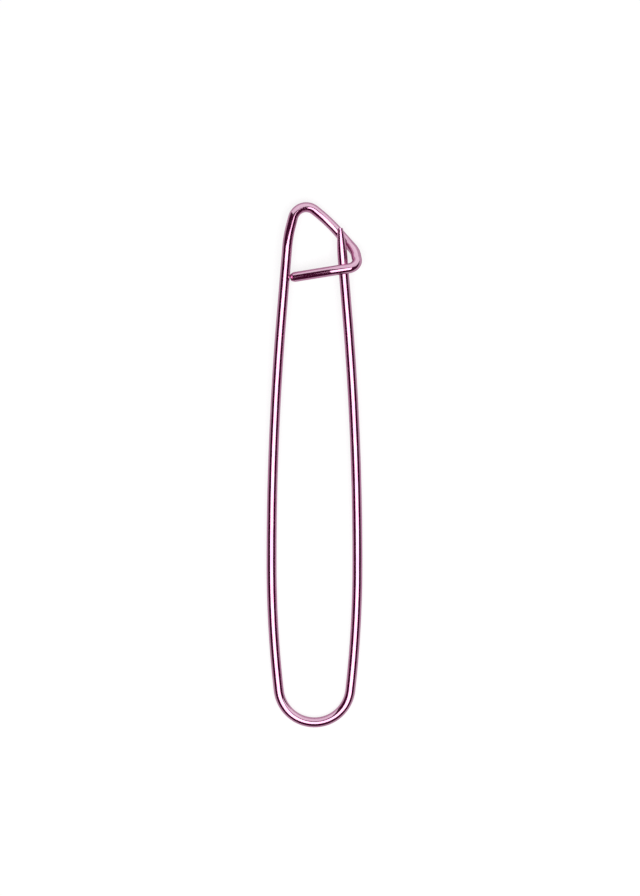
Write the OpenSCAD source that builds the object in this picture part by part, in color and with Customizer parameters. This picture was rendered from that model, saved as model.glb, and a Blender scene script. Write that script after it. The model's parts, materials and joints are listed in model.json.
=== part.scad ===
// Stitch holder for knitting: one length of springy anodised wire.
// It lies flat with the spring bend at -Y, the head at +Y and the bar on top.
// The needle arm springs outward into the catch and is squeezed inward to open it.
// Every radius and every corner is given at the middle of the wire.

/* [Wire] */
// Diameter of the wire
wire_d = 2.5; // [2:0.1:2.8]

/* [Loop] */
// Length over everything, from the spring bend to the top of the head
holder_len = 131.2; // [110:0.2:200]
// Width over both arms where the loop is widest
loop_w = 23.9; // [22:0.1:28]
// Radius of the spring bend
spring_r = 9; // [7:0.1:9.6]
// Height of the widest place above the outside of the spring bend
belly_up = 40.2; // [30:0.2:50]
// Length of the straight stretch of each arm below the bar
arm_straight = 10; // [5:1:40]
// Distance from the middle of the holder to the back arm, level with the bar, before the arm is raised
arm_at_bar = 7.1; // [6.5:0.05:8.5]
// Distance from the middle of the holder to the needle, level with the bar
needle_at_bar = 7.15; // [6.5:0.05:8.5]

/* [Head] */
// Distance from the top of the head down to the shoulder of the back arm
shoulder_down = 8.6; // [8.2:0.1:10]
// Rise of the back arm from the spring bend to its shoulder
back_rise = 2.95; // [2.6:0.05:3.2]
// Lean of the back arm above its shoulder
shoulder_lean = 14.5; // [12:0.1:17]
// Radius of the shoulder
shoulder_r = 26; // [10:1:32]
// Radius of the bend at the top of the head
top_r = 3.6; // [2.5:0.1:4]
// Height of the top bend's corner above the strut, which dips under the needle
top_rise = 2.3; // [1.6:0.05:2.6]
// Slope of the strut where it leaves the top bend
strut_slope = 38.2; // [34:0.1:44]
// Distance from the top bend to the corner in the strut
strut_lead = 4.3; // [3.6:0.1:6]
// Radius of the corner in the strut
strut_r = 25; // [10:1:28]

/* [Catch] */
// Distance from the top of the head down to the bar, at the middle of the holder
bar_down = 17.95; // [16.5:0.05:19]
// Tilt of the bar, seen from above
bar_tilt = 8.45; // [5:0.05:11]
// Distance from the needle to the upper corner of the elbow
elbow_out = 3.3; // [3:0.05:4]
// Height of the elbow's upper corner above its lower one
elbow_h = 4.1; // [3.9:0.1:5]
// Distance from the needle to the lower corner of the elbow
hook_out = 3.7; // [3.2:0.05:4]
// Length over which the strut turns upward before the elbow
foot_len = 2.7; // [2.3:0.1:3]
// Radius where the strut turns upward
foot_r = 4; // [2:0.1:5]
// Radius of the elbow's upper corner
elbow_r = 6; // [3:0.1:6.6]
// Radius of the elbow's lower corner
hook_r = 2.7; // [2:0.1:3]
// Radius of the arch of the bar over the needle
crest_r = 9; // [4:0.5:10]
// Distance from the needle back to the corner of that arch
crest_in = 1.4; // [1.2:0.1:2.5]
// Height of the bar's free end above the strut, axis to axis
bar_end_up = 1.95; // [1:0.05:2.4]
// Gap between the bar's free end and the back arm, seen from above
bar_end_gap = 0.2; // [0.15:0.05:1]
// Width of the bevel on the bar's free end
bevel = 0.4; // [0.1:0.05:0.6]

/* [Needle] */
// Distance from the top of the head down to the point of the needle
tip_down = 6.5; // [6:0.1:7.4]
// Length of the tapered point
tip_len = 8; // [5:0.5:9]
// Diameter of the blunt end of the point
tip_d = 1.3; // [0.8:0.1:1.6]
// Height of the needle above touching the strut, for its full diameter
strut_gap = 0.2; // [0.15:0.05:0.6]
// Height of the arch's corner above a bar that touches the needle
bar_lift = 0.6; // [0.5:0.05:1.2]

/* [Hidden] */
// Facets around the wire, and along each bend
around = 48;
arc_steps = 36;
$fn = around;
wire_finish = [0.80, 0.50, 0.68];

wire_r = wire_d / 2;
// Every second stretch of the wire is a hair thinner and runs this far into its neighbours.
thin_d = wire_d - 0.02;
lap = 0.1;
seam_turn = 37;
head_top = holder_len / 2;
bar_y = head_top - bar_down;

// The loop: the spring bend meets each arm's lower bow, which is upright at the belly.
spring_y = wire_r + spring_r - head_top;
belly_y = belly_up - head_top;
belly_x = (loop_w - wire_d) / 2;
belly_rise = belly_y - spring_y;
low_bow_r = (belly_x^2 - spring_r^2 + belly_rise^2) / (2 * (belly_x - spring_r));
spring_out = asin(belly_rise / (low_bow_r - spring_r));

// Above the belly each arm is one bow and a straight, aimed at its place beside the bar.
bow_reach = (bar_y - belly_y - arm_straight) / 2;
function lean(at_bar) = atan((belly_x - at_bar) / (bar_y - belly_y - bow_reach));
function bow_r(at_bar) = bow_reach / tan(lean(at_bar) / 2);
function bow_end(at_bar) = [
    belly_x - bow_r(at_bar) * (1 - cos(lean(at_bar))),
    belly_y + bow_r(at_bar) * sin(lean(at_bar))
];
// Place of an arm's straight stretch at height y
function arm_x(at_bar, y) = at_bar - (y - bar_y) * tan(lean(at_bar));

// Each arm's plane is turned about the arm's first tangent, so its top end rises over the strut.
arm_start = [spring_r * cos(spring_out), spring_y - spring_r * sin(spring_out)];
arm_along = [sin(spring_out), cos(spring_out)];
arm_inward = [-cos(spring_out), sin(spring_out)];
// Place in space of a flat point on the needle's side, in an arm's plane
function in_arm_plane(p, roll) = let (off = (p - arm_start) * arm_inward)
    [each arm_start + (p - arm_start) * arm_along * arm_along + off * cos(roll) * arm_inward,
     wire_r + off * sin(roll)];
tip_y = head_top - tip_down;
tip_flat = [arm_x(needle_at_bar, tip_y), tip_y];
needle_rise = wire_d + strut_gap;
needle_roll = asin(needle_rise / ((tip_flat - arm_start) * arm_inward));
// Height of the needle's axis, and its place across, at height y along its straight stretch
function needle_off(y) = ([arm_x(needle_at_bar, y), y] - arm_start) * arm_inward;
function needle_z(y) = wire_r + needle_off(y) * sin(needle_roll);
function needle_x(y) = arm_x(needle_at_bar, y) + needle_off(y) * (1 - cos(needle_roll));

// The head and catch: one run of corners from the back arm to the free end of the bar
shoulder_y = head_top - shoulder_down;
shoulder_flat = [arm_x(arm_at_bar, shoulder_y), shoulder_y];
back_roll = asin(back_rise / ((shoulder_flat - arm_start) * arm_inward));
function back_place(p) = let (q = in_arm_plane(p, back_roll)) [-q.x, q.y, q.z];
shoulder = back_place(shoulder_flat);

// The top bend falls towards the strut. Its tilt sets how far its corner lies past the holder's end.
top_turn = 90 - shoulder_lean + strut_slope;
strut_from_top = top_r * tan(top_turn / 2) + strut_lead;
flat_top_y = head_top - wire_r - top_r + top_r / cos(top_turn / 2) * cos((90 - shoulder_lean - strut_slope) / 2);
top_arrive = unit([sin(shoulder_lean), cos(shoulder_lean),
                   (top_rise - back_rise) * cos(shoulder_lean) / (flat_top_y - shoulder.y)]);
top_leave = unit([cos(strut_slope), -sin(strut_slope), -top_rise / strut_from_top]);
top_inward = unit(top_leave - top_arrive) * top_r / cos(acos(top_arrive * top_leave) / 2);
top_axis = unit(cross(top_leave, top_arrive));
top_y = head_top - wire_r - top_inward.y - top_r * sqrt(1 - top_axis.y^2);
top = [shoulder.x + (top_y - shoulder.y) * tan(shoulder_lean), top_y, wire_r + top_rise];
strut_corner = top + [strut_from_top * cos(strut_slope), -strut_from_top * sin(strut_slope), -top_rise];

// Places along the bar in plan, and its height where it crosses the needle
function bar_at(x) = bar_y + x * tan(bar_tilt);
cross_y = bar_at(needle_at_bar);
cross_x = needle_x(cross_y);
crest_z = needle_z(cross_y) + wire_d + bar_lift;
climb = crest_z - wire_r;
climb_at_elbow = 0.28;
climb_at_hook = 0.88;

hook_x = cross_x + hook_out;
hook = [hook_x, bar_at(hook_x), wire_r + climb_at_hook * climb];
elbow_y = hook.y + elbow_h;
elbow = [cross_x - (elbow_y - cross_y) * tan(lean(needle_at_bar)) + elbow_out, elbow_y,
         wire_r + climb_at_elbow * climb];
strut_run = [elbow.x - strut_corner.x, elbow.y - strut_corner.y, 0];
foot = [elbow.x, elbow.y, wire_r] - foot_len * unit(strut_run);
crest = [cross_x - crest_in, bar_at(cross_x - crest_in), crest_z];
bar_end_x = back_place([arm_x(arm_at_bar, bar_y), bar_y]).x + wire_r + bar_end_gap;
bar_end = [bar_end_x, bar_at(bar_end_x), wire_r + bar_end_up];

back_arm_top = back_place(bow_end(arm_at_bar));
run = [back_arm_top, shoulder, top, strut_corner, foot, elbow, hook, crest, bar_end];
run_r = [0, shoulder_r, top_r, strut_r, foot_r, elbow_r, hook_r, crest_r, 0];

function unit(v) = v / norm(v);
// Turn of the run at corner i, and how far its bend reaches from the corner
function turn(i) = 180 - acos(unit(run[i - 1] - run[i]) * unit(run[i + 1] - run[i]));
function reach(i) = run_r[i] == 0 ? 0 : run_r[i] * tan(turn(i) / 2);
function bend_start(i) = run[i] + reach(i) * unit(run[i - 1] - run[i]);
function bend_end(i) = run_r[i] == 0 ? run[i] : run[i] + reach(i) * unit(run[i + 1] - run[i]);

// Turns +Z to the direction from a to b, with the origin at a.
// The part turn about the wire's own axis keeps its seam clear of its neighbours' seams.
module aim(a, b) {
    d = unit(b - a);
    translate(a) rotate([0, acos(d.z), atan2(d.y, d.x)]) rotate([0, 0, seam_turn]) children();
}

module straight(a, b, d) {
    aim(a, b) cylinder(h = norm(b - a), d = d);
}

// Straight wire of the run between the bends at corners i and i + 1
module link(i, lap_start = lap, lap_end = lap) {
    along = unit(run[i + 1] - run[i]);
    straight(bend_end(i) - lap_start * along, bend_start(i + 1) + lap_end * along, thin_d);
}

// Bent wire at corner i of the run
module bend(i) {
    along = unit(run[i] - run[i - 1]);
    inward = unit(unit(run[i - 1] - run[i]) + unit(run[i + 1] - run[i]));
    centre = run[i] + inward * run_r[i] / cos(turn(i) / 2);
    out = unit(bend_start(i) - centre);
    axis = cross(out, along);
    multmatrix([
        [out.x, along.x, axis.x, centre.x],
        [out.y, along.y, axis.y, centre.y],
        [out.z, along.z, axis.z, centre.z],
        [0, 0, 0, 1]
    ]) arc(run_r[i], 0, turn(i), wire_d);
}

module arc(radius, from, angle, d) {
    rotate_extrude(angle = angle, start = from, $fn = 360 / angle * arc_steps)
        translate([radius, 0]) circle(d = d, $fn = around);
}

// An arm from the spring bend to its top end, flat, on the needle's side
module arm(at_bar, top_end) {
    lap_turn = lap / bow_r(at_bar) * 180 / PI;
    translate([belly_x - low_bow_r, belly_y, 0])
        arc(low_bow_r, -spring_out, spring_out, wire_d);
    translate([belly_x - bow_r(at_bar), belly_y, 0])
        arc(bow_r(at_bar), -lap_turn, lean(at_bar) + 2 * lap_turn, thin_d);
    straight(flat(bow_end(at_bar)), flat(top_end), wire_d);
}

// Turns a flat shape on the needle's side into an arm's own plane.
module arm_plane(roll) {
    start = [arm_start.x, arm_start.y, 0];
    translate(start + [0, 0, wire_r])
        rotate(roll, [arm_along.x, arm_along.y, 0])
            translate(-start) children();
}

function flat(p) = [p.x, p.y, 0];
tip_base = tip_flat - tip_len * unit(tip_flat - bow_end(needle_at_bar));

module spring_bend() color(wire_finish)
    translate([0, spring_y, wire_r])
        arc(spring_r, 180 + spring_out, 180 - 2 * spring_out, wire_d);

module needle_arm() color(wire_finish)
    arm_plane(needle_roll) arm(needle_at_bar, tip_base);

// The point swells smoothly from its blunt end to the full wire.
module needle_tip() color(wire_finish) {
    steps = 12;
    taper = [for (i = [0:steps]) let (s = i / steps)
        [wire_r - (wire_r - tip_d / 2) * s^2, tip_len * s]];
    arm_plane(needle_roll) aim(flat(tip_base), flat(tip_flat))
        rotate_extrude() polygon(concat([[0, 0]], taper, [[0, tip_len]]));
}

module back_arm() color(wire_finish)
    mirror([1, 0, 0]) arm_plane(back_roll)
        arm(arm_at_bar, shoulder_flat - reach(1) * unit(shoulder_flat - bow_end(arm_at_bar)));

module head_bend() color(wire_finish) {
    bend(1);
    link(1);
    bend(2);
}

module head_strut() color(wire_finish) {
    link(2, lap_start = 0);
    bend(3);
    link(3, lap_end = 0);
}

module catch_elbow() color(wire_finish) {
    bend(4);
    link(4);
    bend(5);
}

module catch_hook() color(wire_finish) {
    link(5, lap_start = 0);
    bend(6);
}

module catch_bar() color(wire_finish) {
    link(6, lap_start = 0);
    bend(7);
    bar_start = bend_end(7) - lap * unit(bar_end - bend_end(7));
    bar_len = norm(bar_end - bar_start);
    aim(bar_start, bar_end) rotate_extrude() polygon([
        [0, 0], [thin_d / 2, 0], [thin_d / 2, bar_len - bevel],
        [thin_d / 2 - bevel, bar_len - bevel / 4], [0, bar_len]
    ]);
}

spring_bend();
needle_arm();
needle_tip();
back_arm();
head_bend();
head_strut();
catch_elbow();
catch_hook();
catch_bar();
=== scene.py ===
import json
import math
from collections import namedtuple

import bpy
import numpy as np
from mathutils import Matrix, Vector


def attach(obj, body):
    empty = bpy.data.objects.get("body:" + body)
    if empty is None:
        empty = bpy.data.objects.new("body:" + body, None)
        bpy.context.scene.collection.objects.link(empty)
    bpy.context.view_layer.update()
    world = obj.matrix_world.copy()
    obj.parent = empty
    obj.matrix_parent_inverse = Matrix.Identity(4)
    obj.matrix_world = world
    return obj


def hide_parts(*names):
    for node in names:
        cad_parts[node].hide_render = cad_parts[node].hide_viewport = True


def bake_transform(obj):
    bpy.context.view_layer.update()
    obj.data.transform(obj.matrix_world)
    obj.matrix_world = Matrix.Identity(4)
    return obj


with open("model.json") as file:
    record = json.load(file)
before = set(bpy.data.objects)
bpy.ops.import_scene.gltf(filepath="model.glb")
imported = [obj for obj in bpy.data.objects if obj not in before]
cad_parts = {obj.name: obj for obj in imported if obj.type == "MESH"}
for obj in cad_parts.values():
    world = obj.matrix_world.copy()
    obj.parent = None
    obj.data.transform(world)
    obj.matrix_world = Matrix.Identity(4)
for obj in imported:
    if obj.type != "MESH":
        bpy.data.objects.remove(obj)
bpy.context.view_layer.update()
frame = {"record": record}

# Camera: straight down. The photograph is 896 pixels high and shows 224 mm at the height of the
# wire's axis, so 4 pixels are a millimetre there.
MM = 0.001
SENSOR_MM = 36
VIEW_CENTRE_MM = (1.375, 4.25)
VIEW_HEIGHT = 0.224
CAMERA_UP = 1.0
AXIS_UP_MM = 1.25
camera_data = bpy.data.cameras.new("camera")
camera_data.sensor_width = SENSOR_MM
camera_data.lens = SENSOR_MM * CAMERA_UP / VIEW_HEIGHT
camera = bpy.data.objects.new("camera", camera_data)
camera.location = (VIEW_CENTRE_MM[0] * MM, VIEW_CENTRE_MM[1] * MM, CAMERA_UP + AXIS_UP_MM * MM)
bpy.context.scene.collection.objects.link(camera)
bpy.context.scene.camera = camera
bpy.context.scene.view_settings.view_transform = "Standard"

# The wire's sizes in mm and radians, with the names and values of the CAD source
WIRE_D, HOLDER_LEN, LOOP_W, SPRING_R, BELLY_UP, ARM_STRAIGHT = 2.5, 131.2, 23.9, 9.0, 40.2, 10.0
ARM_AT_BAR, NEEDLE_AT_BAR = 7.1, 7.15
BACK_RISE, TOP_RISE = 2.95, 2.3
SHOULDER_DOWN, SHOULDER_LEAN, SHOULDER_R = 8.6, math.radians(14.5), 26.0
TOP_R, STRUT_SLOPE, STRUT_LEAD, STRUT_R = 3.6, math.radians(38.2), 4.3, 25.0
BAR_DOWN, BAR_TILT, ELBOW_OUT, ELBOW_H, HOOK_OUT = 17.95, math.radians(8.45), 3.3, 4.1, 3.7
FOOT_LEN, FOOT_R, ELBOW_R, HOOK_R, CREST_R, CREST_IN = 2.7, 4.0, 6.0, 2.7, 9.0, 1.4
BAR_END_UP, BAR_END_GAP, BAR_LIFT = 1.95, 0.2, 0.6
CLIMB_AT_ELBOW, CLIMB_AT_HOOK = 0.28, 0.88
TIP_DOWN, TIP_LEN, TIP_D, STRUT_GAP = 6.5, 8.0, 1.3, 0.2
WIRE_R = WIRE_D / 2
RIGHT_ANGLE = math.pi / 2


def unit(v):
    v = np.array(v, float)
    return v / np.linalg.norm(v)


# A stretch of the centre line: its length, and at(share), the place and direction at that
# share of it
Stretch = namedtuple("Stretch", "length at")


def line(a, b):
    a, b = np.array(a, float), np.array(b, float)
    return Stretch(np.linalg.norm(b - a), lambda share: (a + (b - a) * share, unit(b - a)))


def arc(centre, out, along, radius, angle):
    """An arc that starts at centre + out * radius and sets off along."""
    centre, out, along = np.array(centre, float), unit(out), unit(along)

    def at(share):
        turned = angle * share
        return (centre + radius * (out * math.cos(turned) + along * math.sin(turned)),
                along * math.cos(turned) - out * math.sin(turned))

    return Stretch(radius * angle, at)


# The loop: each arm is two bows that meet at the belly, and a straight
head_top = HOLDER_LEN / 2
bar_y = head_top - BAR_DOWN
spring_y = WIRE_R + SPRING_R - head_top
belly_y = BELLY_UP - head_top
belly_x = (LOOP_W - WIRE_D) / 2
belly_rise = belly_y - spring_y
low_bow_r = (belly_x**2 - SPRING_R**2 + belly_rise**2) / (2 * (belly_x - SPRING_R))
spring_out = math.asin(belly_rise / (low_bow_r - SPRING_R))
bow_reach = (bar_y - belly_y - ARM_STRAIGHT) / 2


def lean(at_bar):
    """How far an arm leans in above its upper bow, from its place at the bar."""
    return math.atan((belly_x - at_bar) / (bar_y - belly_y - bow_reach))


def bow_r(at_bar):
    """Radius of an arm's upper bow."""
    return bow_reach / math.tan(lean(at_bar) / 2)


def bow_end(at_bar):
    """Where an arm's upper bow ends and its straight begins."""
    turned, radius = lean(at_bar), bow_r(at_bar)
    return np.array([belly_x - radius * (1 - math.cos(turned)),
                     belly_y + radius * math.sin(turned)])


def arm_x(at_bar, y):
    """Place of an arm's straight stretch across the holder, at place y along it."""
    return at_bar - (y - bar_y) * math.tan(lean(at_bar))


def bar_at(x):
    """Place of the bar along the holder, at place x across it."""
    return bar_y + x * math.tan(BAR_TILT)


# Each arm's plane is turned about the arm's first tangent, so its top end rises over the strut.
out_x, out_y = math.cos(spring_out), math.sin(spring_out)
arm_start = np.array([SPRING_R * out_x, spring_y - SPRING_R * out_y])
arm_along = np.array([out_y, out_x, 0])
arm_inward = np.array([-out_x, out_y])
tip_y = head_top - TIP_DOWN
tip_flat = np.array([arm_x(NEEDLE_AT_BAR, tip_y), tip_y])
needle_roll = math.asin((WIRE_D + STRUT_GAP) / ((tip_flat - arm_start) @ arm_inward))
needle_top = bow_end(NEEDLE_AT_BAR)
tip_base = tip_flat - TIP_LEN * unit(tip_flat - needle_top)
shoulder_y = head_top - SHOULDER_DOWN
shoulder_flat = np.array([arm_x(ARM_AT_BAR, shoulder_y), shoulder_y])
back_roll = math.asin(BACK_RISE / ((shoulder_flat - arm_start) @ arm_inward))
MIRROR = np.array([-1, 1, 1])


def rolled(v, roll=needle_roll):
    """A flat direction of the needle's side, turned into an arm's own plane."""
    v = np.array([v[0], v[1], 0.0])
    return (v * math.cos(roll) + np.cross(arm_along, v) * math.sin(roll)
            + arm_along * (arm_along @ v) * (1 - math.cos(roll)))


def in_arm_plane(p, roll=needle_roll):
    """A flat place of the needle's side, turned into an arm's own plane."""
    return rolled(np.array(p) - arm_start, roll) + np.array([*arm_start, WIRE_R])


def back_place(p):
    """The same on the back arm, which mirrors the needle's side."""
    return in_arm_plane(p, back_roll) * MIRROR


def back_way(v):
    return rolled(v, back_roll) * MIRROR


# The head and the catch, as one run of corners. The top bend falls towards the strut, and its
# tilt sets how far its corner lies past the holder's end.
shoulder = back_place(shoulder_flat)
top_turn = RIGHT_ANGLE - SHOULDER_LEAN + STRUT_SLOPE
strut_from_top = TOP_R * math.tan(top_turn / 2) + STRUT_LEAD
flat_top_y = (head_top - WIRE_R - TOP_R + TOP_R / math.cos(top_turn / 2)
              * math.cos((RIGHT_ANGLE - SHOULDER_LEAN - STRUT_SLOPE) / 2))
top_fall = (TOP_RISE - BACK_RISE) * math.cos(SHOULDER_LEAN) / (flat_top_y - shoulder[1])
top_arrive = unit([math.sin(SHOULDER_LEAN), math.cos(SHOULDER_LEAN), top_fall])
top_leave = unit([math.cos(STRUT_SLOPE), -math.sin(STRUT_SLOPE), -TOP_RISE / strut_from_top])
top_inward = (unit(top_leave - top_arrive) * TOP_R
              / math.cos(math.acos(top_arrive @ top_leave) / 2))
top_axis = unit(np.cross(top_leave, top_arrive))
top_y = head_top - WIRE_R - top_inward[1] - TOP_R * math.sqrt(1 - top_axis[1]**2)
top_x = shoulder[0] + (top_y - shoulder[1]) * math.tan(SHOULDER_LEAN)
top = np.array([top_x, top_y, WIRE_R + TOP_RISE])
strut_corner = top + np.array([strut_from_top * math.cos(STRUT_SLOPE),
                               -strut_from_top * math.sin(STRUT_SLOPE), -TOP_RISE])

# Where the bar crosses the needle, and how high it climbs there
cross_y = bar_at(NEEDLE_AT_BAR)
cross_flat_x = arm_x(NEEDLE_AT_BAR, cross_y)
cross_off = (np.array([cross_flat_x, cross_y]) - arm_start) @ arm_inward
cross_x = cross_flat_x + cross_off * (1 - math.cos(needle_roll))
crest_z = WIRE_R + cross_off * math.sin(needle_roll) + WIRE_D + BAR_LIFT
climb = crest_z - WIRE_R
hook_x = cross_x + HOOK_OUT
hook = np.array([hook_x, bar_at(hook_x), WIRE_R + CLIMB_AT_HOOK * climb])
elbow_y = hook[1] + ELBOW_H
elbow_x = cross_x - (elbow_y - cross_y) * math.tan(lean(NEEDLE_AT_BAR)) + ELBOW_OUT
elbow = np.array([elbow_x, elbow_y, WIRE_R + CLIMB_AT_ELBOW * climb])
strut_run = np.array([elbow_x - strut_corner[0], elbow_y - strut_corner[1], 0])
foot = np.array([elbow_x, elbow_y, WIRE_R]) - FOOT_LEN * unit(strut_run)
crest_x = cross_x - CREST_IN
crest = np.array([crest_x, bar_at(crest_x), crest_z])
bar_end_x = back_place([arm_x(ARM_AT_BAR, bar_y), bar_y])[0] + WIRE_R + BAR_END_GAP
bar_end = np.array([bar_end_x, bar_at(bar_end_x), WIRE_R + BAR_END_UP])
back_arm_top = back_place(bow_end(ARM_AT_BAR))
run = [back_arm_top, shoulder, top, strut_corner, foot, elbow, hook, crest, bar_end]
run_r = [0, SHOULDER_R, TOP_R, STRUT_R, FOOT_R, ELBOW_R, HOOK_R, CREST_R, 0]


def turn(i):
    """How far the run turns at corner i."""
    return math.pi - math.acos(unit(run[i - 1] - run[i]) @ unit(run[i + 1] - run[i]))


def reach(i):
    """How far the bend reaches from corner i."""
    return run_r[i] * math.tan(turn(i) / 2) if run_r[i] else 0


def bend_start(i):
    return run[i] + reach(i) * unit(run[i - 1] - run[i])


def bend_end(i):
    return run[i] + reach(i) * unit(run[i + 1] - run[i]) if run_r[i] else run[i]


def bend(i):
    """Bent wire at corner i."""
    inward = unit(unit(run[i - 1] - run[i]) + unit(run[i + 1] - run[i]))
    centre = run[i] + inward * run_r[i] / math.cos(turn(i) / 2)
    return arc(centre, bend_start(i) - centre, run[i] - run[i - 1], run_r[i], turn(i))


def link(i):
    """Straight wire between the bends at corners i and i + 1."""
    return line(bend_end(i), bend_start(i + 1))


needle_lean, back_lean = lean(NEEDLE_AT_BAR), lean(ARM_AT_BAR)
needle_bow_r, back_bow_r = bow_r(NEEDLE_AT_BAR), bow_r(ARM_AT_BAR)
low_bow_centre = [belly_x - low_bow_r, belly_y]
# The wire's centre line from the needle's point to the bar's free end, by CAD node
WIRE = {
    "needle_tip": [line(in_arm_plane(tip_flat), in_arm_plane(tip_base))],
    "needle_arm": [
        line(in_arm_plane(tip_base), in_arm_plane(needle_top)),
        arc(in_arm_plane([belly_x - needle_bow_r, belly_y]),
            rolled([math.cos(needle_lean), math.sin(needle_lean)]),
            rolled([math.sin(needle_lean), -math.cos(needle_lean)]), needle_bow_r, needle_lean),
        arc(in_arm_plane(low_bow_centre), rolled([1, 0]), rolled([0, -1]), low_bow_r, spring_out),
    ],
    "spring_bend": [arc([0, spring_y, WIRE_R], [out_x, -out_y, 0], [-out_y, -out_x, 0],
                        SPRING_R, math.pi - 2 * spring_out)],
    "back_arm": [
        arc(back_place(low_bow_centre), back_way([out_x, -out_y]), back_way([out_y, out_x]),
            low_bow_r, spring_out),
        arc(back_place([belly_x - back_bow_r, belly_y]), back_way([1, 0]), back_way([0, 1]),
            back_bow_r, back_lean),
        line(back_arm_top, bend_start(1)),
    ],
    "head_bend": [bend(1), link(1), bend(2)],
    "head_strut": [link(2), bend(3), link(3)],
    "catch_elbow": [bend(4), link(4), bend(5)],
    "catch_hook": [link(5), bend(6)],
    "catch_bar": [link(6), bend(7), line(bend_end(7), bar_end)],
}

# Rings along the wire, each with the distance run from the needle's point, and each node's
# first and last ring
Ring = namedtuple("Ring", "place direction s")
RING_STEP = 0.35
FEWEST_STEPS = 2
rings, ring_range = [], {}
run_so_far = 0.0
for name, stretches in WIRE.items():
    first = max(len(rings) - 1, 0)
    for stretch in stretches:
        steps = max(FEWEST_STEPS, math.ceil(stretch.length / RING_STEP))
        for i in range(1 if rings else 0, steps + 1):
            place, direction = stretch.at(i / steps)
            rings.append(Ring(place, direction, run_so_far + stretch.length * i / steps))
        run_so_far += stretch.length
    ring_range[name] = (first, len(rings) - 1)

# A direction across the wire at each ring that never twists along it
NO_TURN = 1e-12
across = [unit(np.cross(rings[0].direction, [0, 0, 1]))]
for before, after in zip(rings, rings[1:]):
    axis = np.cross(before.direction, after.direction)
    v = across[-1]
    sine = np.linalg.norm(axis)
    if sine > NO_TURN:
        k = axis / sine
        cosine = before.direction @ after.direction
        v = v * cosine + np.cross(k, v) * sine + k * (k @ v) * (1 - cosine)
    across.append(unit(v - after.direction * (after.direction @ v)))

# A ring of a tube, with its radius, and the slope of its surface for the shading
Station = namedtuple("Station", "place direction side radius s slope")
AROUND = 64
TURNS = np.linspace(0, 2 * math.pi, AROUND, endpoint=False)

# Bake map: the margin round each strip, and the spare strip, half as high, that holds the two
# end discs, with how far they lie off its middle and their radius as a share of its height
UV_EDGE = 0.02
SPARE_STRIP = 0.5
DISC_OFF_MIDDLE = 0.3
DISC_R_SHARE = 0.4

# The needle rubs where it passes the head and the catch.
RUB_WITHIN = 0.9
NEEDLE_HEAD_LEN = 25.0
needle_places = np.array([ring.place for ring in rings if ring.s < NEEDLE_HEAD_LEN])
head_places = np.array([ring.place for ring in rings[ring_range["head_strut"][0]:]])


def rubbed(name, verts):
    """1 where the needle and the head or the catch touch, falling to 0 within RUB_WITHIN."""
    others = head_places if name.startswith("wire_needle") else needle_places
    apart = np.linalg.norm(verts[:, None, :] - others[None, :, :], axis=2)
    gap = np.min(apart, axis=1) - WIRE_R
    return np.clip(1 - gap / RUB_WITHIN, 0, 1).astype(np.float32)


def strip_map(rows, length):
    """Bake map of a tube, unrolled and cut into strips that lie side by side."""
    strips = max(1, round(math.sqrt(length / (2 * math.pi * WIRE_R))))
    per_strip = math.ceil((rows - 1) / strips)
    high = 1 / (strips + SPARE_STRIP)

    def place(row, turn, strip):
        along = (row - strip * per_strip) / per_strip
        return (UV_EDGE + along * (1 - 2 * UV_EDGE),
                high * (strip + UV_EDGE + turn * (1 - 2 * UV_EDGE)))

    return place, per_strip, high


def make_tube(name, stations):
    """A smooth closed tube through the stations."""
    verts, normals, unrolled, uv = [], [], [], []
    map_place, per_strip, high = strip_map(len(stations), stations[-1].s - stations[0].s)
    for station in stations:
        up = np.cross(station.direction, station.side)
        for a in TURNS:
            out = station.side * math.cos(a) + up * math.sin(a)
            verts.append((station.place + out * station.radius) * MM)
            normals.append(unit(out - station.direction * station.slope))
            unrolled.append((WIRE_R * math.cos(a), WIRE_R * math.sin(a), station.s))
    faces = []
    for i in range(len(stations) - 1):
        for j in range(AROUND):
            a, b = i * AROUND + j, i * AROUND + (j + 1) % AROUND
            faces.append((a, b, b + AROUND, a + AROUND))
            strip = i // per_strip
            uv += [map_place(i, j / AROUND, strip), map_place(i, (j + 1) / AROUND, strip),
                   map_place(i + 1, (j + 1) / AROUND, strip), map_place(i + 1, j / AROUND, strip)]
    loop_normals = [normals[v] for face in faces for v in face]
    spare = high * SPARE_STRIP
    for at, way in ((0, -1), (len(stations) - 1, 1)):
        middle = np.array([0.5 + DISC_OFF_MIDDLE * way, 1 - spare / 2])
        disc = [tuple(middle + spare * DISC_R_SHARE * np.array([math.cos(a), math.sin(a)]))
                for a in TURNS]
        faces.append(tuple(at * AROUND + j for j in range(AROUND))[::way])
        uv += disc[::way]
        loop_normals += [way * stations[at].direction] * AROUND
    mesh = bpy.data.meshes.new(name)
    mesh.from_pydata([tuple(v) for v in verts], [], faces)
    mesh.polygons.foreach_set("use_smooth", [True] * len(mesh.polygons))
    on_wire = mesh.attributes.new("unrolled", "FLOAT_VECTOR", "POINT")
    on_wire.data.foreach_set("vector", np.array(unrolled, np.float32).ravel())
    rub = mesh.attributes.new("rub", "FLOAT", "POINT")
    rub.data.foreach_set("value", rubbed(name, np.array(verts) / MM))
    bake_map = mesh.uv_layers.new(name="OFBake")
    bake_map.data.foreach_set("uv", np.array(uv, np.float32).ravel())
    mesh.normals_split_custom_set([tuple(n) for n in loop_normals])
    obj = bpy.data.objects.new(name, mesh)
    bpy.context.scene.collection.objects.link(obj)
    return obj


def tip_radius(s):
    """The needle's radius at distance s from its point."""
    left = min(max((TIP_LEN - s) / TIP_LEN, 0), 1)
    return WIRE_R - (WIRE_R - TIP_D / 2) * left**2


# The visual wire is a hair thinner than the CAD's, so that it stays inside the CAD's box.
HAIR = 0.004
VISUAL_R = WIRE_R - HAIR
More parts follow.
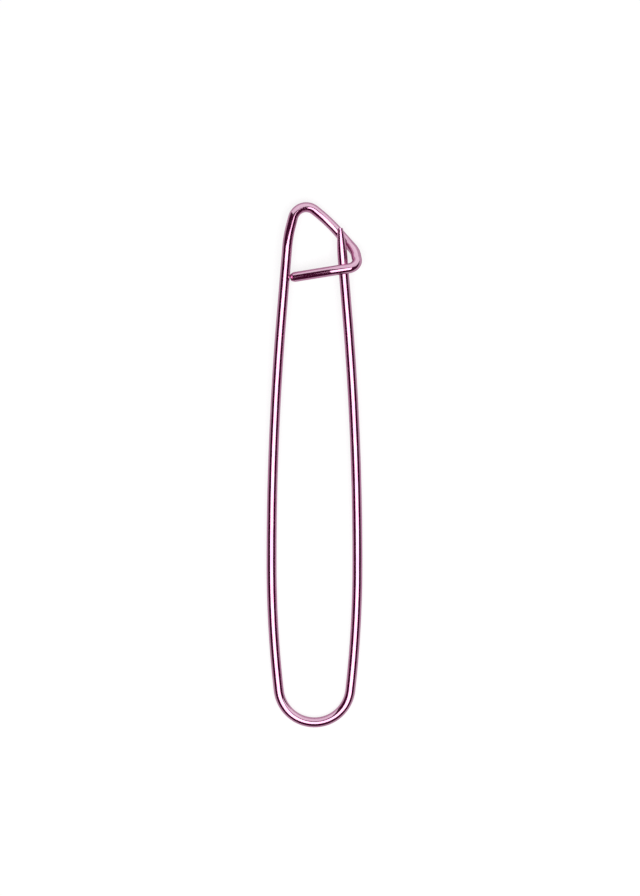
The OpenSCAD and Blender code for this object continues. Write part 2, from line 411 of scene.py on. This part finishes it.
# The taper's shading shows this share of its slope, which is measured this far to each side.
TAPER_SHADING = 0.3
SLOPE_OVER = 0.01
# The rounded edge of the ground point: its radius, its steps, and its steepest shading as an angle
TIP_EDGE_R = 0.09
TIP_EDGE_STEPS = 6
TIP_EDGE_STEEPEST = 1.4
# The bevelled bar end: distance back from the end, distance in from the surface, and slope
BAR_END_PROFILE = [
    (0.97, 0.0, 0.0), (0.93, 0.005, 0.2), (0.88, 0.02, 0.4), (0.10, 0.33, 0.42),
    (0.05, 0.38, 1.2), (0.02, 0.45, 4.0), (0.012, 0.52, 20.0)
]
BAR_END_REACH = 1.02


def tip_stations(stations):
    """The needle's taper, with a rounded edge round its blunt end."""
    for i, station in enumerate(stations):
        change = tip_radius(station.s + SLOPE_OVER) - tip_radius(station.s - SLOPE_OVER)
        stations[i] = station._replace(radius=min(tip_radius(station.s), VISUAL_R),
                                       slope=TAPER_SHADING * change / (2 * SLOPE_OVER))
    point = stations[0]
    edge = []
    for k in range(TIP_EDGE_STEPS, -1, -1):
        a = RIGHT_ANGLE * k / TIP_EDGE_STEPS
        edge.append(point._replace(
            place=point.place + point.direction * TIP_EDGE_R * (1 - math.sin(a)),
            radius=point.radius - TIP_EDGE_R * (1 - math.cos(a)),
            slope=math.tan(min(a, TIP_EDGE_STEEPEST))))
    return edge + stations[1:]


def bar_stations(stations):
    """The bar, with a bevel on its free end whose edges are rounded."""
    last = stations[-1]
    kept = [station for station in stations if station.s < last.s - BAR_END_REACH]
    return kept + [last._replace(place=last.place - last.direction * back, s=last.s - back,
                                 radius=VISUAL_R - inset, slope=-slope)
                   for back, inset, slope in BAR_END_PROFILE]


WITH_END = {"needle_tip": tip_stations, "catch_bar": bar_stations}
pieces_made = {}
for name, (first, last) in ring_range.items():
    stations = [Station(ring.place, ring.direction, side, VISUAL_R, ring.s, 0)
                for ring, side in zip(rings[first:last + 1], across[first:last + 1])]
    if name in WITH_END:
        stations = WITH_END[name](stations)
    pieces_made[name] = make_tube("wire_" + name, stations)

BODY_OF = {node: body for body, nodes in frame["record"]["behaviour"]["bodies"].items()
           for node in nodes}


def set_inputs(node, **values):
    for key, value in values.items():
        node.inputs[key.replace("_", " ")].default_value = value


def attribute(nodes, name, output):
    node = nodes.new("ShaderNodeAttribute")
    node.attribute_name = name
    return node.outputs[output]


def noise(tree, vector, scale, stretch=(1, 1, 1), detail=2.0, offset=(0, 0, 0)):
    """Noise of so many cells a millimetre. A stretch below 1 draws it out along that axis."""
    mapping = tree.nodes.new("ShaderNodeMapping")
    mapping.inputs["Scale"].default_value = stretch
    mapping.inputs["Location"].default_value = offset
    tree.links.new(vector, mapping.inputs["Vector"])
    texture = tree.nodes.new("ShaderNodeTexNoise")
    set_inputs(texture, Scale=scale, Detail=detail)
    tree.links.new(mapping.outputs["Vector"], texture.inputs["Vector"])
    return texture.outputs[0]


def to_range(tree, value, within, to):
    """The value, moved smoothly from one range (low, high) to another and held at its ends."""
    node = tree.nodes.new("ShaderNodeMapRange")
    node.interpolation_type = "SMOOTHSTEP"
    for socket, number in zip(("From Min", "From Max", "To Min", "To Max"), (*within, *to)):
        node.inputs[socket].default_value = number
    tree.links.new(value, node.inputs["Value"])
    return node.outputs["Result"]


def combine(tree, operation, first, second):
    node = tree.nodes.new("ShaderNodeMath")
    node.operation = operation
    for socket, value in zip(node.inputs, (first, second)):
        if isinstance(value, (int, float)):
            socket.default_value = value
        else:
            tree.links.new(value, socket)
    return node.outputs[0]


def mix_colour(tree, amount, first, second):
    node = tree.nodes.new("ShaderNodeMix")
    node.data_type = "RGBA"
    tree.links.new(amount, node.inputs[0])
    for socket, value in ((node.inputs[6], first), (node.inputs[7], second)):
        if isinstance(value, tuple):
            socket.default_value = (*value, 1)
        else:
            tree.links.new(value, socket)
    return node.outputs[2]


def bump(tree, height, depth_mm, normal=None):
    node = tree.nodes.new("ShaderNodeBump")
    node.inputs["Strength"].default_value = 1.0
    node.inputs["Distance"].default_value = depth_mm * MM
    tree.links.new(height, node.inputs["Height"])
    if normal is not None:
        tree.links.new(normal, node.inputs["Normal"])
    return node.outputs["Normal"]


# The metal's colours: the dye where it is deep, where it is pale and in the drawn lines, the
# metal where the dye is rubbed off, and the tint of its reflections at the edges
DYE_DEEP, DYE_PALE, DYE_IN_LINES = (0.57, 0.265, 0.425), (0.66, 0.345, 0.505), (0.53, 0.235, 0.395)
BARE_METAL = (0.78, 0.68, 0.73)
EDGE_TINT = (0.7, 0.4, 0.56)
# How strongly the drawn lines show, how much they help a scuff to break through the dye, and
# how bare a nick and a scuff are
LINES_SHOW, LINES_HELP_SCUFF, NICK_BARE, SCUFF_BARE = 0.5, 0.9, 0.6, 0.7
# Roughness: from the deep dye to the pale, and what the drawn lines and the bare metal add
DYE_ROUGH, LINES_ROUGH, BARE_ROUGH = (0.065, 0.12), 0.03, 0.16
# Depths in mm
WAVE_DEEP, LINE_DEEP, GRAIN_DEEP, NICK_DEEP = 0.03, 0.0012, 0.0003, 0.004


def anodised_metal():
    """Pink anodised aluminium wire: drawn lines, a faint waviness, nicks and rubbed places."""
    material = bpy.data.materials.new("anodised_wire")
    material.use_nodes = True
    tree = material.node_tree
    shader = tree.nodes["Principled BSDF"]
    set_inputs(shader, Metallic=1.0, Coat_Weight=0.5, Coat_Roughness=0.05, Coat_IOR=1.6)
    shader.inputs["Specular Tint"].default_value = (*EDGE_TINT, 1)
    on_wire = attribute(tree.nodes, "unrolled", "Vector")
    rub = attribute(tree.nodes, "rub", "Fac")

    drawn = noise(tree, on_wire, scale=7.0, stretch=(1, 1, 0.03), detail=3.0)
    waves = noise(tree, on_wire, scale=0.55, stretch=(0.7, 0.7, 0.45), detail=1.0)
    clouds = noise(tree, on_wire, scale=0.5, stretch=(1, 1, 0.3), detail=4.0, offset=(7, 3, 11))
    specks = noise(tree, on_wire, scale=3.2, stretch=(1, 1, 0.6), detail=1.0, offset=(2, 9, 5))
    grain = noise(tree, on_wire, scale=14.0, detail=2.0)

    nicks = to_range(tree, specks, within=(0.75, 0.80), to=(0, 1))
    rubbed_lines = combine(tree, "ADD", rub, combine(tree, "MULTIPLY", drawn, LINES_HELP_SCUFF))
    scuffs = to_range(tree, rubbed_lines, within=(0.85, 1.35), to=(0, SCUFF_BARE))
    bare = combine(tree, "MAXIMUM", combine(tree, "MULTIPLY", nicks, NICK_BARE), scuffs)

    cloudy = to_range(tree, clouds, within=(0.3, 0.7), to=(0, 1))
    dyed = mix_colour(tree, cloudy, DYE_DEEP, DYE_PALE)
    in_lines = to_range(tree, drawn, within=(0.35, 0.65), to=(0, LINES_SHOW))
    dyed = mix_colour(tree, in_lines, dyed, DYE_IN_LINES)
    colour = mix_colour(tree, bare, dyed, BARE_METAL)
    tree.links.new(colour, shader.inputs["Base Color"])

    rough = to_range(tree, clouds, within=(0.3, 0.7), to=DYE_ROUGH)
    rough_lines = to_range(tree, drawn, within=(0.4, 0.7), to=(0, LINES_ROUGH))
    rough = combine(tree, "ADD", rough, rough_lines)
    rough = combine(tree, "ADD", rough, combine(tree, "MULTIPLY", bare, BARE_ROUGH))
    tree.links.new(rough, shader.inputs["Roughness"])

    surface = bump(tree, waves, WAVE_DEEP)
    surface = bump(tree, drawn, LINE_DEEP, surface)
    surface = bump(tree, grain, GRAIN_DEEP, surface)
    surface = bump(tree, combine(tree, "SUBTRACT", 1.0, nicks), NICK_DEEP, surface)
    tree.links.new(surface, shader.inputs["Normal"])
    return material


metal = anodised_metal()
for name, obj in pieces_made.items():
    obj.data.materials.append(metal)
    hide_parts(name)
    if name != "spring_bend":
        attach(obj, BODY_OF[name])
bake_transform(pieces_made["spring_bend"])


# Floor and studio, in metres
def panel(name, corners, material):
    """A flat piece of the floor or the studio."""
    mesh = bpy.data.meshes.new(name)
    mesh.from_pydata(corners, [], [tuple(range(len(corners)))])
    mesh.materials.append(material)
    obj = bpy.data.objects.new(name, mesh)
    bpy.context.scene.collection.objects.link(obj)
    return obj


def reflected_panel(name, corners, material):
    """A studio panel that only reflections see."""
    obj = panel(name, corners, material)
    obj.visible_camera = obj.visible_diffuse = False
    obj.visible_shadow = obj.visible_transmission = False


def seen_by(tree, *rays):
    """1 for the named kinds of ray."""
    path = tree.nodes.new("ShaderNodeLightPath")
    total = path.outputs[rays[0]]
    for ray in rays[1:]:
        total = combine(tree, "MAXIMUM", total, path.outputs[ray])
    return total


FLOOR_HALF = 6
FLOOR_GREY = (0.3, 0.3, 0.3)
WHITE = (1, 1, 1, 1)
# How much the floor glows for the camera, and in the metal's reflections
GLOW_TO_CAMERA, GLOW_TO_METAL = 0.78, 0.5


def floor_material():
    """A white table whose shadows are softened: it glows for the camera, less in reflections."""
    material = bpy.data.materials.new("white_table")
    material.use_nodes = True
    tree = material.node_tree
    shader = tree.nodes["Principled BSDF"]
    set_inputs(shader, Roughness=0.9)
    shader.inputs["Base Color"].default_value = (*FLOOR_GREY, 1)
    shader.inputs["Specular IOR Level"].default_value = 0.0
    shader.inputs["Emission Color"].default_value = WHITE
    to_camera = combine(tree, "MULTIPLY", seen_by(tree, "Is Camera Ray"), GLOW_TO_CAMERA)
    to_metal = combine(tree, "MULTIPLY", seen_by(tree, "Is Glossy Ray", "Is Transmission Ray"),
                       GLOW_TO_METAL)
    tree.links.new(combine(tree, "MAXIMUM", to_camera, to_metal),
                   shader.inputs["Emission Strength"])
    return material


panel("floor", [(-FLOOR_HALF, -FLOOR_HALF, 0), (FLOOR_HALF, -FLOOR_HALF, 0),
                (FLOOR_HALF, FLOOR_HALF, 0), (-FLOOR_HALF, FLOOR_HALF, 0)], floor_material())

WORLD_FILL = 0.2
world = bpy.data.worlds.new("studio")
bpy.context.scene.world = world
world.use_nodes = True
backdrop = world.node_tree.nodes["Background"]
backdrop.inputs["Color"].default_value = WHITE
seen = seen_by(world.node_tree, "Is Camera Ray", "Is Glossy Ray", "Is Transmission Ray")
world.node_tree.links.new(combine(world.node_tree, "MAXIMUM", seen, WORLD_FILL),
                          backdrop.inputs["Strength"])


def glow(name, colour, level):
    material = bpy.data.materials.new(name)
    material.use_nodes = True
    nodes, links = material.node_tree.nodes, material.node_tree.links
    nodes.remove(nodes["Principled BSDF"])
    emission = nodes.new("ShaderNodeEmission")
    emission.inputs["Color"].default_value = (*colour, 1)
    emission.inputs["Strength"].default_value = level
    links.new(emission.outputs[0], nodes["Material Output"].inputs["Surface"])
    return material


# A softbox overhead, dark flags round the table and a white board to the north
SOFTBOX_UP = 1.2
SOFTBOX_TURN = math.radians(8)
SOFTBOX_X, SOFTBOX_Y = (-0.682, 0.72), (-0.772, 0.149)
SOFTBOX_LEVEL = 3.2
softbox_data = bpy.data.lights.new("softbox", "AREA")
softbox_data.shape = "RECTANGLE"
softbox_data.size = SOFTBOX_X[1] - SOFTBOX_X[0]
softbox_data.size_y = SOFTBOX_Y[1] - SOFTBOX_Y[0]
softbox_data.energy = SOFTBOX_LEVEL * math.pi * softbox_data.size * softbox_data.size_y
softbox = bpy.data.objects.new("softbox", softbox_data)
softbox.rotation_euler = (0, 0, SOFTBOX_TURN)
softbox.location = softbox.rotation_euler.to_matrix() @ Vector(
    (sum(SOFTBOX_X) / 2, sum(SOFTBOX_Y) / 2, SOFTBOX_UP))
bpy.context.scene.collection.objects.link(softbox)

FLAG_AWAY, FLAG_UP = 2.5, 1.6
FLAG_COLOUR, FLAG_LEVEL = (0.07, 0.008, 0.038), 1.0
w, h = FLAG_AWAY, FLAG_UP
FLAGS = {
    "flag_west": [(-w, -w, 0), (-w, w, 0), (-w, w, h), (-w, -w, h)],
    "flag_east": [(w, -w, 0), (w, w, 0), (w, w, h), (w, -w, h)],
    "flag_south": [(-w, -w, 0), (w, -w, 0), (w, -w, h), (-w, -w, h)],
    "flag_north": [(-w, w, 0), (w, w, 0), (w, w, h), (-w, w, h)],
    "flag_over": [(-w, -w, h), (w, -w, h), (w, w, h), (-w, w, h)],
}
dark = glow("dark_flag", FLAG_COLOUR, FLAG_LEVEL)
for name, corners in FLAGS.items():
    reflected_panel(name, corners, dark)
# The board leans over the table. Its upper edge was fitted to the highlights on the wire.
BOARD_UP = 1.25
BOARD_COLOUR, BOARD_LEVEL = (0.8, 1.0, 0.87), 1.5
BOARD_CORNERS = [
    (-1.6, 1.3, 0), (1.8, 1.6, 0), (1.8, 0.42, BOARD_UP), (0.5, 0.42, BOARD_UP),
    (0.12, 0.6, BOARD_UP), (-0.4, 0.6, BOARD_UP)
]
board = glow("white_board", BOARD_COLOUR, BOARD_LEVEL)
reflected_panel("board_north", BOARD_CORNERS, board)
